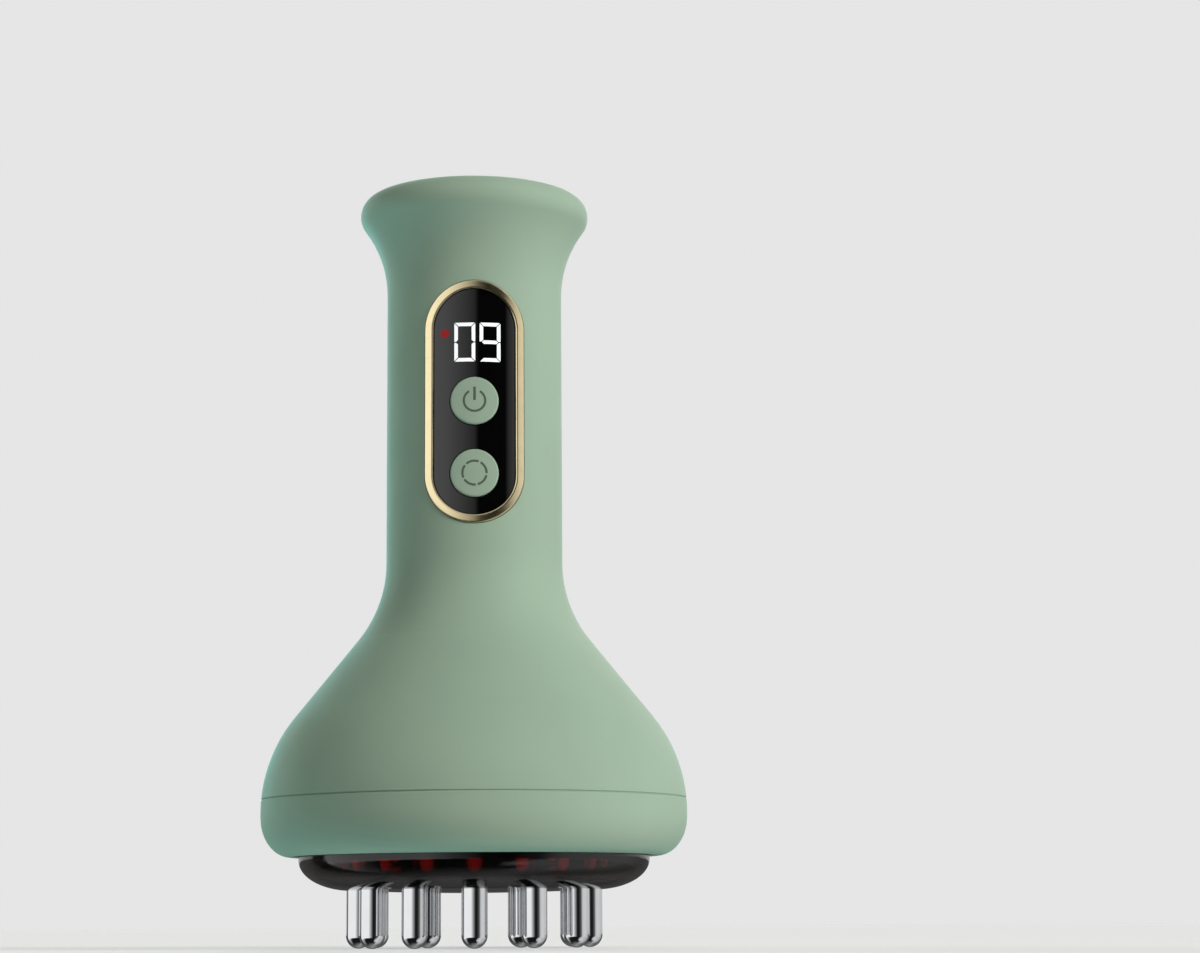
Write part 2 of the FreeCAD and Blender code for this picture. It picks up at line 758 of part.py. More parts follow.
for side in (-1, 1):
    hole_low = (clamp_middle, side * clamp_screw_side, clamp_hole_low)
    hole_high = (clamp_middle, side * clamp_screw_side, motor_axis)
    frame = frame.cut(rod(screw_hole, hole_low, hole_high))
for x_hole, y_hole, angle in frame_screw_places:
    frame = frame.cut(rod(screw_hole, (x_hole, y_hole, flange_top), (x_hole, y_hole, frame_top)))
parts["motor_frame"] = frame
frame_screws = [screw((x, y, frame_top), (x, y, screw_floor)) for x, y, angle in frame_screw_places]
parts["frame_screws"] = Part.makeCompound(frame_screws)

# Motor with its shaft and half-round weight
nose_front = motor_front + nose_length
shaft_bore_back = motor_front - shaft_bore_depth
tag_end = motor_back - tag_length
can = rod(motor_radius, (motor_back, 0, motor_axis), (motor_front, 0, motor_axis))
can = can.fuse(rod(2 * shaft_radius, (motor_front, 0, motor_axis), (nose_front, 0, motor_axis)))
can = can.cut(rod(shaft_radius + shaft_gap, (shaft_bore_back, 0, motor_axis), (nose_front, 0, motor_axis)))
for side in (-1, 1):
    tag_span = (side * lead_spread / 2 - tag_width / 2, side * lead_spread / 2 + tag_width / 2)
    tag_rise = (motor_axis - tag_thickness / 2, motor_axis + tag_thickness / 2)
    can = can.fuse(block((tag_end, motor_back), tag_span, tag_rise))
parts["motor_can"] = can
shaft_front = nose_front + shaft_free_length
shaft_back = shaft_bore_back + shaft_end_gap
parts["motor_shaft"] = rod(shaft_radius, (shaft_back, 0, motor_axis), (shaft_front, 0, motor_axis))
weight_front = shaft_front - weight_end_gap
weight_span = (weight_front - weight_length, weight_front)
weight_ends = [(end, 0, motor_axis) for end in weight_span]
weight_low = block(weight_span, (-weight_radius, weight_radius), (0, motor_axis))
weight = rod(weight_radius, *weight_ends).common(weight_low)
weight = weight.fuse(rod(hub_radius, *weight_ends))
parts["eccentric_weight"] = weight.cut(rod(shaft_radius + weight_bore_gap, *weight_ends))
clamp_span = (clamp_middle - clamp_length / 2, clamp_middle + clamp_length / 2)
clamp_outside = motor_radius + motor_seat_gap + clamp_thickness
arch = rod(clamp_outside, (clamp_span[0], 0, motor_axis), (clamp_span[1], 0, motor_axis))
upper = block(clamp_span, (-clamp_outside, clamp_outside), (motor_axis, motor_axis + clamp_outside))
arch = arch.common(upper)
foot = block(clamp_span, (-rail_outside, rail_outside), (motor_axis, motor_axis + clamp_thickness))
clamp = arch.fuse(foot).cut(motor_bed)
clamp_seat = motor_axis + clamp_thickness
clamp_screws = []
for side in (-1, 1):
    seat = (clamp_middle, side * clamp_screw_side, clamp_seat)
    clamp = clamp.cut(rod(screw_hole, (seat[0], seat[1], motor_axis), seat))
    clamp_screws.append(screw(seat, (seat[0], seat[1], clamp_hole_low + screw_tip_gap)))
parts["motor_clamp"] = clamp
parts["clamp_screws"] = Part.makeCompound(clamp_screws)

# Panel window, gold rim and buttons, all with faces that follow the handle
inner_width = bezel_width - 2 * bezel_band
inner_length = bezel_length - 2 * bezel_band
bezel = capsule(bezel_width, bezel_length, 0, panel_centre, (far_front, deck_front))
bezel = bezel.cut(capsule(inner_width, inner_length, 0, panel_centre, (far_front, deck_front)))
bezel = bezel.common(rod(bezel_face, *panel_tall))
parts["bezel_ring"] = bezel.makeFillet(bezel_round, edges_at_radius(bezel, bezel_face))
cover_width = inner_width - 2 * panel_gap
cover_length = inner_length - 2 * panel_gap
cover = capsule(cover_width, cover_length, 0, panel_centre, (far_front, deck_front))
cover = cover.common(rod(cover_face, *panel_tall))
for height in button_heights.values():
    cover = cover.cut(rod(button_radius + button_gap, (0, far_front, height), (0, deck_front, height)))
parts["panel_cover"] = cover
for name, height in button_heights.items():
    cap = rod(button_radius, (0, far_front, height), (0, flange_back, height))
    cap = cap.common(rod(button_face, *panel_tall))
    cap = cap.makeFillet(button_round, edges_at_radius(cap, button_face))
    flange = rod(button_radius + flange_width, (0, flange_front, height), (0, flange_back, height))
    stem = rod(stem_radius, (0, flange_back, height), (0, plunger_tip, height))
    parts[name + "_button"] = cap.fuse(flange).fuse(stem).removeSplitter()

# Tact switches with their plungers
for name, height in button_heights.items():
    half = switch_side / 2
    switch = block((-half, half), (switch_face, board_front), (height - half, height + half))
    bore_end = switch_face + plunger_sunk + button_travel + plunger_room
    bore = rod(plunger_radius + button_gap, (0, switch_face, height), (0, bore_end, height))
    parts[name + "_switch"] = switch.cut(bore)
    plunger_end = (0, switch_face + plunger_sunk, height)
    parts[name + "_plunger"] = rod(plunger_radius, (0, plunger_tip, height), plunger_end)

# Control board on the posts of the front half
board = block((-board_half, board_half), (board_front, board_back), (board_bottom, board_top))
board_screws = []
for x_post, z_post in post_places:
    hole_start = (x_post, board_front, z_post)
    hole_end = (x_post, board_back, z_post)
    board = board.cut(rod(screw_hole, hole_start, hole_end))
    board_screws.append(screw(hole_end, (x_post, deck_back + screw_tip_gap, z_post)))
parts["control_board"] = board
parts["board_screws"] = Part.makeCompound(board_screws)
display_front = deck_front + display_air
display_half = display_width / 2
parts["display_module"] = block(
    (display_shift - display_half, display_shift + display_half),
    (display_front, board_front),
    (display_centre - display_height / 2, display_centre + display_height / 2),
)
indicator_ends = [(indicator_shift, depth, indicator_centre) for depth in (display_front, board_front)]
parts["status_led"] = rod(indicator_radius, *indicator_ends)
chip_centre = button_heights["mode"] - switch_side / 2 - chip_side / 2 - board_part_gap
parts["control_chip"] = block(
    (-chip_side / 2, chip_side / 2),
    (board_front - chip_height, board_front),
    (chip_centre - chip_side / 2, chip_centre + chip_side / 2),
)
coil_left = board_half - board_part_gap - coil_side
coil_centre = power_height - button_pitch / 2
parts["boost_coil"] = block(
    (coil_left, coil_left + coil_side),
    (board_front - coil_height, board_front),
    (coil_centre - coil_side / 2, coil_centre + coil_side / 2),
)
plug_middles = {name: plug_pitch * (k - 1.5) for k, name in enumerate(("motor", "battery", "charge", "head"))}
plugs = []
for middle in plug_middles.values():
    plug_span = (middle - plug_width / 2, middle + plug_width / 2)
    plugs.append(block(plug_span, (board_back, plug_face), (plug_bottom, plug_bottom + plug_height)))
parts["board_sockets"] = Part.makeCompound(plugs)

# Rechargeable cell in its saddles
parts["battery_cell"] = rod(cell_radius, (0, cell_centre, cell_bottom), (0, cell_centre, cell_top))

# Charging inlet on its own small board
charge_half = charge_board_width / 2
charge_board_span = (charge_board_front, charge_board_back)
charge_board = block((-charge_half, charge_half), charge_board_span, (shelf_top, charge_board_top))
charge_screws = []
for x_post, y_post in charge_screw_places:
    hole = rod(screw_hole, (x_post, y_post, shelf_top), (x_post, y_post, charge_board_top))
    charge_board = charge_board.cut(hole)
    tip = (x_post, y_post, charge_hole_low + screw_tip_gap)
    charge_screws.append(screw((x_post, y_post, charge_board_top), tip))
parts["charge_board"] = charge_board
parts["charge_screws"] = Part.makeCompound(charge_screws)
inlet_inside = (inlet_width - 2 * inlet_wall, inlet_height - 2 * inlet_wall)
socket = capsule(inlet_width, inlet_height, 0, inlet_centre, (inlet_back, inlet_mouth), upright=False)
socket_room = capsule(*inlet_inside, 0, inlet_centre, (inlet_back + inlet_wall, inlet_mouth), upright=False)
parts["charge_socket"] = socket.cut(socket_room)
insert_back = inlet_back + inlet_wall
insert_span = (insert_back, insert_back + insert_thickness)
insert_size = (inlet_inside[0] - 2 * insert_gap, inlet_inside[1] - 2 * insert_gap)
insert = capsule(*insert_size, 0, inlet_centre, insert_span, upright=False)
blade = block(
    (-inlet_tongue_width / 2, inlet_tongue_width / 2),
    (insert_back, inlet_mouth - inlet_tongue_setback),
    (inlet_centre - inlet_tongue_height / 2, inlet_centre + inlet_tongue_height / 2),
)
parts["charge_tongue"] = insert.fuse(blade)

# Wiring from the control board to the cell, the inlet, the motor and the light board
battery_x = plug_middles["battery"]
battery_y = rib_front + battery_lead_setback
battery_low = plug_bottom - 3 * lead_bend / 2
parts["battery_leads"] = lead_pair([
    (battery_x, battery_y, cell_bottom),
    (battery_x, battery_y, battery_low),
    (battery_x, lead_depth, battery_low),
    (battery_x, lead_depth, plug_bottom),
], lead_radius)
charge_x = plug_middles["charge"]
charge_y = charge_board_front + charge_lead_setback
charge_low = charge_board_top + 2 * lead_bend
parts["charge_leads"] = lead_pair([
    (charge_x, charge_y, charge_board_top),
    (charge_x, charge_y, charge_low),
    (charge_x, lead_depth, charge_low),
    (charge_x, lead_depth, plug_bottom),
], lead_radius)
motor_x = plug_middles["motor"]
motor_turn = motor_back - motor_lead_reach
motor_leads = []
for side in (-1, 1):
    y_tag = side * lead_spread / 2
    motor_leads.append(cable([
        (motor_x + y_tag, lead_depth, plug_bottom),
        (motor_x + y_tag, lead_depth, neck_start),
        (motor_turn, y_tag, shoulder_end),
        (motor_turn, y_tag, motor_axis),
        (tag_end, y_tag, motor_axis),
    ], lead_radius))
parts["motor_leads"] = Part.makeCompound(motor_leads)
head_x = plug_middles["head"]
head_y = -(outer_pin_circle + inner_pin_circle) / 2
parts["head_harness"] = cable([
    (head_x, lead_depth, plug_bottom),
    (head_x, lead_depth, neck_start),
    (head_x, head_y, shoulder_end),
    (head_x, head_y, light_board_top),
], harness_radius)

os.makedirs("parts", exist_ok=True)
for name, shape in parts.items():
    shape.exportStep("parts/%s.step" % name)
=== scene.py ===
import math

import bmesh
import bpy
from mathutils import Matrix, Vector


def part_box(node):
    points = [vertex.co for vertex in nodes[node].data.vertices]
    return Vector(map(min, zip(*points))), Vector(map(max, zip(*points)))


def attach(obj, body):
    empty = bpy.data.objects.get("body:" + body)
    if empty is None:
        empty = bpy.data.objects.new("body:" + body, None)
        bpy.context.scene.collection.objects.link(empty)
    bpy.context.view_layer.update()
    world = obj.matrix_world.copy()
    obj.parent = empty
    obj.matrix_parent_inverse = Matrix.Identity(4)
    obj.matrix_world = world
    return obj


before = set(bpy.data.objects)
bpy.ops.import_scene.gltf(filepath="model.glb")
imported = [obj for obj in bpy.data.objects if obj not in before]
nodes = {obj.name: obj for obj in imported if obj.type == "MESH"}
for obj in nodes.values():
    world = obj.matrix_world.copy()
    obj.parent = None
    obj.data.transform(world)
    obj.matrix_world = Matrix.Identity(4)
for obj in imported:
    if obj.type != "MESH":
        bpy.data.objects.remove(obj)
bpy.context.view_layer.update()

MM = 0.001  # metres in a millimetre


def add_object(name, data):
    """New object in the scene, made from a mesh, a light or a camera."""
    piece = bpy.data.objects.new(name, data)
    bpy.context.scene.collection.objects.link(piece)
    return piece


# Materials

noise_range = (0.3, 0.7)  # most values of a noise texture lie between these
patch_detail = 3.0
rough_detail = 4.0
grain_detail = 2.0
rough_scale = 2.5  # how much finer the patches of roughness are than those of colour


def srgb(red, green, blue):
    """Linear colour of an 8-bit screen colour."""
    linear = []
    for value in (red, green, blue):
        value /= 255
        linear.append(value / 12.92 if value <= 0.04045 else ((value + 0.055) / 1.055) ** 2.4)
    return (*linear, 1.0)


def tone(colour, factor):
    """The same colour, lighter or darker."""
    return (*[min(1.0, value * factor) for value in colour[:3]], 1.0)


def noise(tree, scale, detail):
    """Noise in the object's own coordinates, as a factor from 0 to 1."""
    place = tree.nodes.new("ShaderNodeTexCoord")
    grain = tree.nodes.new("ShaderNodeTexNoise")
    grain.inputs["Scale"].default_value = scale
    grain.inputs["Detail"].default_value = detail
    tree.links.new(place.outputs["Object"], grain.inputs["Vector"])
    return grain.outputs["Fac"]


def finish(name, first, second, patch, rough, grain=0, bump=0.0, depth=0.00002, **sockets):
    """Principled material with patches of two colours, uneven roughness and a fine bump.

    patch and grain are scales of noise, rough is the range of the roughness, and depth is in metres.
    All other keywords are sockets of the shader, with underscores for spaces.
    """
    material = bpy.data.materials.new(name)
    material.use_nodes = True
    tree = material.node_tree
    shader = tree.nodes["Principled BSDF"]
    ramp = tree.nodes.new("ShaderNodeValToRGB")
    for stop, position, colour in zip(ramp.color_ramp.elements, noise_range, (first, second)):
        stop.position = position
        stop.color = colour
    tree.links.new(noise(tree, patch, patch_detail), ramp.inputs["Fac"])
    tree.links.new(ramp.outputs["Color"], shader.inputs["Base Color"])
    spread = tree.nodes.new("ShaderNodeMapRange")
    for socket, value in zip(("From Min", "From Max", "To Min", "To Max"), (*noise_range, *rough)):
        spread.inputs[socket].default_value = value
    tree.links.new(noise(tree, patch * rough_scale, rough_detail), spread.inputs["Value"])
    tree.links.new(spread.outputs["Result"], shader.inputs["Roughness"])
    if bump:
        relief = tree.nodes.new("ShaderNodeBump")
        relief.inputs["Strength"].default_value = bump
        relief.inputs["Distance"].default_value = depth
        tree.links.new(noise(tree, grain, grain_detail), relief.inputs["Height"])
        tree.links.new(relief.outputs["Normal"], shader.inputs["Normal"])
    for socket, value in sockets.items():
        shader.inputs[socket.replace("_", " ")].default_value = value
    return material


def follow_level(tree, strength):
    """Reads a light's strength from the level that its mesh has at each point."""
    level = tree.nodes.new("ShaderNodeAttribute")
    level.attribute_name = "level"
    tree.links.new(level.outputs["Fac"], strength)


sage = srgb(164, 184, 163)
green_body = finish(
    "green_body", tone(sage, 0.97), tone(sage, 1.02),
    patch=45, rough=(0.50, 0.58), grain=5200, bump=0.10, depth=0.00003, Specular_IOR_Level=0.2,
    Sheen_Weight=0.12, Sheen_Roughness=0.35, Sheen_Tint=(0.5, 1.0, 0.9, 1.0),
)
green_button = finish(
    "green_button", tone(sage, 0.97), tone(sage, 1.02),
    patch=160, rough=(0.38, 0.46), grain=6500, bump=0.06, Specular_IOR_Level=0.4,
)
smoke = srgb(46, 42, 40)
smoked_bowl = finish(
    "smoked_bowl", tone(smoke, 0.9), tone(smoke, 1.1),
    patch=60, rough=(0.03, 0.06), grain=900, bump=0.01, IOR=1.5, Transmission_Weight=0.95,
)
silver = srgb(222, 223, 225)
chrome_pin = finish(
    "chrome_pin", tone(silver, 0.98), tone(silver, 1.02),
    patch=300, rough=(0.03, 0.06), grain=2500, bump=0.01, depth=0.00001, Metallic=1.0,
)
brass = srgb(205, 191, 153)
gold_rim = finish(
    "gold_rim", tone(brass, 0.98), tone(brass, 1.03),
    patch=220, rough=(0.22, 0.28), grain=5000, bump=0.05, depth=0.00001, Metallic=1.0,
)
ink = srgb(5, 5, 5)
black_window = finish(
    "black_window", tone(ink, 0.9), tone(ink, 1.1),
    patch=120, rough=(0.02, 0.05), grain=700, bump=0.004, depth=0.00001, IOR=1.5,
)
red_light = finish(
    "red_light", srgb(150, 12, 14), srgb(190, 18, 18),
    patch=900, rough=(0.3, 0.4), Emission_Color=(1.0, 0.02, 0.03, 1.0), Emission_Strength=2.4,
)
black_plastic = finish(
    "black_plastic", srgb(24, 24, 25), srgb(32, 32, 33),
    patch=300, rough=(0.35, 0.5), grain=7000, bump=0.12,
)
circuit_board = finish(
    "circuit_board", srgb(16, 52, 36), srgb(24, 66, 46),
    patch=500, rough=(0.35, 0.5), grain=2500, bump=0.15,
)
light_board = finish(
    "light_board", srgb(14, 14, 15), srgb(22, 22, 23),
    patch=500, rough=(0.5, 0.6), grain=2500, bump=0.15,
)
brass_spacer = finish(
    "brass_spacer", srgb(176, 148, 86), srgb(192, 164, 100),
    patch=600, rough=(0.25, 0.38), grain=3000, bump=0.1, Metallic=1.0,
)
steel = finish(
    "steel", srgb(168, 169, 172), srgb(186, 187, 189),
    patch=400, rough=(0.22, 0.34), grain=4000, bump=0.1, Metallic=1.0,
)
grey_frame = finish(
    "grey_frame", srgb(120, 122, 124), srgb(132, 134, 136),
    patch=200, rough=(0.45, 0.55), grain=5000, bump=0.12,
)
cell_wrap = finish(
    "cell_wrap", srgb(60, 96, 148), srgb(68, 106, 160),
    patch=150, rough=(0.22, 0.32), grain=1500, bump=0.06,
)
coil_core = finish(
    "coil_core", srgb(52, 50, 50), srgb(66, 63, 62),
    patch=700, rough=(0.55, 0.7), grain=5000, bump=0.2,
)
white_plastic = finish(
    "white_plastic", srgb(222, 220, 214), srgb(232, 230, 225),
    patch=300, rough=(0.4, 0.5), grain=6000, bump=0.1,
)
lead_cover = finish(
    "lead_cover", srgb(64, 64, 65), srgb(74, 74, 75),
    patch=250, rough=(0.42, 0.52), grain=4000, bump=0.1,
)

pin_count = 19
wear = {
    green_body: ["front_shell", "rear_shell", "base_ring"],
    green_button: ["power_button", "mode_button"],
    smoked_bowl: ["lens_bowl"],
    chrome_pin: ["massage_pin_%d" % k for k in range(1, pin_count + 1)],
    gold_rim: ["bezel_ring"],
    black_window: ["panel_cover"],
    red_light: ["red_leds", "status_led"],
    black_plastic: ["power_switch", "mode_switch", "control_chip", "display_module", "charge_tongue"],
    circuit_board: ["control_board", "charge_board"],
    light_board: ["led_board"],
    brass_spacer: ["pin_nuts"],
    steel: [
        "frame_screws",
        "clamp_screws",
        "board_screws",
        "charge_screws",
        "motor_can",
        "motor_shaft",
        "eccentric_weight",
        "charge_socket",
    ],
    grey_frame: ["motor_frame", "motor_clamp"],
    cell_wrap: ["battery_cell"],
    coil_core: ["boost_coil"],
    white_plastic: ["board_sockets", "power_plunger", "mode_plunger"],
    lead_cover: ["battery_leads", "charge_leads", "motor_leads", "head_harness"],
}
for material, names in wear.items():
    for name in names:
        nodes[name].data.materials.clear()
        nodes[name].data.materials.append(material)


# Readout, indicator and button marks, wrapped onto the curved panel, with sizes in millimetres

join_distance = 0.0001  # corners that are nearer than this become one


def mesh_piece(name, bm, material, body):
    """Object made from a finished bmesh, riding on a body."""
    bmesh.ops.recalc_face_normals(bm, faces=bm.faces[:])
    mesh = bpy.data.meshes.new(name)
    bm.to_mesh(mesh)
    bm.free()
    piece = add_object(name, mesh)
    mesh.materials.append(material)
    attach(piece, body)


def wrapped(name, outlines, radius, material, body, proud=0.03, sunk=0.03, strip=0.3):
    """Thin inlay: flat outlines in x and z, cut into strips and laid on a cylinder round Z."""
    bm = bmesh.new()
    for outline in outlines:
        bm.faces.new([bm.verts.new((x, 0, z)) for x, z in outline])
    bmesh.ops.remove_doubles(bm, verts=bm.verts[:], dist=join_distance)
    low = min(v.co.x for v in bm.verts)
    high = max(v.co.x for v in bm.verts)
    cut = low + strip
    while cut < high:
        everything = bm.verts[:] + bm.edges[:] + bm.faces[:]
        bmesh.ops.bisect_plane(bm, geom=everything, plane_co=(cut, 0, 0), plane_no=(1, 0, 0))
        cut += strip
    raised = bmesh.ops.extrude_face_region(bm, geom=bm.faces[:])["geom"]
    front = {v for v in raised if isinstance(v, bmesh.types.BMVert)}
    for v in bm.verts:
        reach = radius + proud if v in front else radius - sunk
        depth = math.sqrt(reach ** 2 - v.co.x ** 2)
        v.co = Vector((v.co.x, -depth, v.co.z)) * MM
    mesh_piece(name, bm, material, body)


def on_circle(centre, radius, degrees):
    """Point on a circle in x and z, with the angle counted from the right."""
    angle = math.radians(degrees)
    return (centre[0] + radius * math.cos(angle), centre[1] + radius * math.sin(angle))


def arc_strip(centre, inner, outer, start, end, steps):
    """Small four-sided outlines along an arc, with angles in degrees from the right."""
    outlines = []
    for k in range(steps):
        corners = []
        for radius, share in ((inner, k), (outer, k), (outer, k + 1), (inner, k + 1)):
            corners.append(on_circle(centre, radius, start + (end - start) * share / steps))
        outlines.append(corners)
    return outlines


def digit(value, x_middle, z_middle, width, height, stroke, gap):
    """Outlines of the lit segments of a seven-segment digit."""
    right, top, half = width / 2, height / 2, stroke / 2
    across = [
        (-right + gap, top),
        (right - gap, top),
        (right - stroke - gap, top - stroke),
        (-right + stroke + gap, top - stroke),
    ]
    upper = [
        (right, top - gap),
        (right - stroke, top - stroke - gap),
        (right - stroke, half + gap),
        (right - half, gap),
        (right, gap),
    ]
    middle = [
        (-right + half + gap, 0),
        (-right + stroke + gap, half),
        (right - stroke - gap, half),
        (right - half - gap, 0),
        (right - stroke - gap, -half),
        (-right + stroke + gap, -half),
    ]
    # The outline of each segment, and the signs that mirror it
    segments = {
        "a": (across, 1, 1),
        "b": (upper, 1, 1),
        "c": (upper, 1, -1),
        "d": (across, 1, -1),
        "e": (upper, -1, -1),
        "f": (upper, -1, 1),
        "g": (middle, 1, 1),
    }
    lit = {0: "abcdef", 9: "abcdfg"}[value]
    outlines = []
    for letter in lit:
        shape, x_sign, z_sign = segments[letter]
        outlines.append([(x_middle + x_sign * x, z_middle + z_sign * z) for x, z in shape])
    return outlines


def middle_of(node):
    """Middle of a node's box."""
    low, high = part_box(node)
    return (low + high) / 2 / MM


cover_radius = -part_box("panel_cover")[0].y / MM
button_radius = -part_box("power_button")[0].y / MM

lit_segment = finish(
    "lit_segment", srgb(236, 238, 240), srgb(242, 243, 244),
    patch=900, rough=(0.3, 0.4), Emission_Color=(0.93, 0.95, 1.0, 1.0), Emission_Strength=0.5,
)
digit_width = 4.3
digit_height = 8.15
digit_stroke = 0.74
digit_gap = 0.12
digit_shifts = ((0, -2.8), (9, 2.4))  # each digit and its way from the middle of the readout
readout = middle_of("display_module")
outlines = []
for value, shift in digit_shifts:
    x_middle = readout.x + shift
    outlines += digit(value, x_middle, readout.z, digit_width, digit_height, digit_stroke, digit_gap)
wrapped("readout_digits", outlines, cover_radius, lit_segment, "body")

glow_dot = finish(
    "glow_dot", srgb(56, 6, 8), srgb(70, 8, 10),
    patch=900, rough=(0.4, 0.5), Specular_IOR_Level=0.15,
    Emission_Color=(1.0, 0.03, 0.04, 1.0), Emission_Strength=0.22,
)
dot_radius = 0.88
dot_corners = 40
indicator = middle_of("status_led")
dot = [on_circle((indicator.x, indicator.z), dot_radius, 360 * k / dot_corners) for k in range(dot_corners)]
wrapped("indicator_dot", [dot], cover_radius, glow_dot, "body")

mark_ink = finish(
    "mark_ink", srgb(76, 95, 74), srgb(85, 104, 82),
    patch=900, rough=(0.45, 0.55), grain=6000, bump=0.1,
)
mark_proud = 0.02
mark_sunk = 0.02
power_inner = 1.96
power_outer = 2.42
power_start = 120  # degrees
power_end = 420
power_steps = 64
stroke_half_width = 0.26
stroke_low = 0.05  # the stroke's ends, above the middle of the button
stroke_high = 2.85
mode_inner = 2.24
mode_outer = 2.7
mode_arcs = 5
mode_start = -2  # degrees
mode_length = 62
mode_steps = 16

z_middle = middle_of("power_switch").z
power_outlines = arc_strip((0, z_middle), power_inner, power_outer, power_start, power_end, power_steps)
low = z_middle + stroke_low
high = z_middle + stroke_high
power_outlines.append([
    (-stroke_half_width, low),
    (stroke_half_width, low),
    (stroke_half_width, high),
    (-stroke_half_width, high),
])
z_middle = middle_of("mode_switch").z
mode_outlines = []
for k in range(mode_arcs):
    start = mode_start + 360 * k / mode_arcs
    end = start + mode_length
    mode_outlines += arc_strip((0, z_middle), mode_inner, mode_outer, start, end, mode_steps)
for name, outlines in (("power", power_outlines), ("mode", mode_outlines)):
    wrapped(
        name + "_mark", outlines, button_radius, mark_ink, name + "_button",
        proud=mark_proud, sunk=mark_sunk,
    )


# Glow round each red light, brightest in its middle, with sizes in millimetres

glow_lens = finish(
    "glow_lens", srgb(60, 8, 10), srgb(74, 10, 12),
    patch=900, rough=(0.3, 0.4), Emission_Color=(1.0, 0.02, 0.03, 1.0),
)
tree = glow_lens.node_tree
follow_level(tree, tree.nodes["Principled BSDF"].inputs["Emission Strength"])
lens_count = 18
lens_half_width = 1.7
lens_half_depth = 0.62
lens_drop = 3.0
lens_level = 2.9
lens_inset = 0.6  # from the outer side of the lights
lens_rows = 9
lens_row_angle = 10  # degrees
lens_steps = 24
low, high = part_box("red_leds")
lens_circle = -low.y / MM - lens_inset
lens_top = high.z / MM
bm = bmesh.new()
layer = bm.verts.layers.float.new("level")
for k in range(lens_count):
    angle = 2 * math.pi * k / lens_count
    across = Vector((math.cos(angle), math.sin(angle), 0))
    outward = Vector((math.sin(angle), -math.cos(angle), 0))
    rings = []
    for row in range(lens_rows):
        fall = math.radians(lens_row_angle * row)
        ring = []
        for step in range(lens_steps):
            turn = math.radians(360 * step / lens_steps)
            side = math.cos(turn) * math.cos(fall)
            reach = math.sin(turn) * math.cos(fall)
            place = outward * (lens_circle + lens_half_depth * reach) + across * (lens_half_width * side)
            place.z = lens_top - lens_drop * math.sin(fall)
            point = bm.verts.new(place * MM)
            point[layer] = lens_level * (1 - side ** 2) * (1 - math.sin(fall) ** 4)
            ring.append(point)
        rings.append(ring)
    for upper, lower in zip(rings, rings[1:]):
        for step in range(lens_steps):
            bm.faces.new((upper[step], upper[step - 1], lower[step - 1], lower[step]))
    bm.faces.new(rings[0])
    bm.faces.new(rings[-1])
mesh_piece("light_glows", bm, glow_lens, "body")


# Gilt contact strips on both faces of the tongue in the charging inlet, with sizes in millimetres

contact_gold = finish(
    "contact_gold", srgb(206, 168, 92), srgb(220, 184, 108),
    patch=700, rough=(0.2, 0.3), grain=4000, bump=0.05, Metallic=1.0,
)
contact_count = 12
contact_pitch = 0.5
contact_width = 0.26
contact_length = 3.2
contact_setback = 0.4
contact_thickness = 0.06
tongue_thickness = 0.7
tongue_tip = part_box("charge_tongue")[1].y / MM
tongue_middle = middle_of("charge_tongue").z
y_middle = tongue_tip - contact_setback - contact_length / 2
size = Matrix.Diagonal((contact_width, contact_length, contact_thickness, 1))
bm = bmesh.new()
for k in range(contact_count):
    x_middle = contact_pitch * (k - (contact_count - 1) / 2)
    for side in (-1, 1):
        face = tongue_middle + side * tongue_thickness / 2
        place = Matrix.Translation((x_middle, y_middle, face))
        bmesh.ops.create_cube(bm, size=1, matrix=Matrix.Scale(MM, 4) @ place @ size)
mesh_piece("charge_contacts", bm, contact_gold, "body")


# Studio, in metres and degrees. Azimuths run from the camera's side to the right.

wall_radius = 0.9
wall_step = 2  # degrees


def stage_piece(name, points, faces, material, hidden_from):
    """Stage piece from points in metres, left out for the kinds of ray that are named."""
    mesh = bpy.data.meshes.new(name)
    mesh.from_pydata(points, [], faces)
    mesh.materials.append(material)
    piece = add_object(name, mesh)
    for ray in hidden_from:
        setattr(piece, "visible_" + ray, False)
    return piece


def glow(name, colour):
    """Emission whose strength is read from the piece's own level at each point."""
    material = bpy.data.materials.new(name)
    material.use_nodes = True
    tree = material.node_tree
    tree.nodes.clear()
    out = tree.nodes.new("ShaderNodeOutputMaterial")
    light = tree.nodes.new("ShaderNodeEmission")
    light.inputs["Color"].default_value = (*colour, 1.0)
    follow_level(tree, light.inputs["Strength"])
    tree.links.new(light.outputs["Emission"], out.inputs["Surface"])
    return material


def level_at(stops, azimuth):
    """Level between two stops, each an azimuth and its level."""
    for (first, low), (last, high) in zip(stops, stops[1:]):
        if azimuth <= last:
            return low + (high - low) * (azimuth - first) / (last - first)
    return stops[-1][1]


def direction(azimuth, elevation):
    """Direction of length one."""
    side, rise = math.radians(azimuth), math.radians(elevation)
    return (math.sin(side) * math.cos(rise), -math.cos(side) * math.cos(rise), math.sin(rise))


def reflector(name, rows, radius=wall_radius, span=(-180, 180), colour=(1, 1, 1)):
    """Round wall of light seen by reflections only. Each row gives an elevation and its stops."""
    points, levels, faces = [], [], []
    count = (span[1] - span[0]) // wall_step + 1
    for elevation, stops in rows:
        for k in range(count):
            azimuth = span[0] + k * wall_step
            points.append([radius * value for value in direction(azimuth, elevation)])
            levels.append(level_at(stops, azimuth))
    for row in range(len(rows) - 1):
        for k in range(count - 1):
            corner = row * count + k
            faces.append((corner, corner + 1, corner + count + 1, corner + count))
    hidden_from = ("camera", "diffuse", "transmission", "shadow", "volume_scatter")
    piece = stage_piece(name, points, faces, glow(name, colour), hidden_from)
    piece.data.attributes.new("level", "FLOAT", "POINT").data.foreach_set("value", levels)


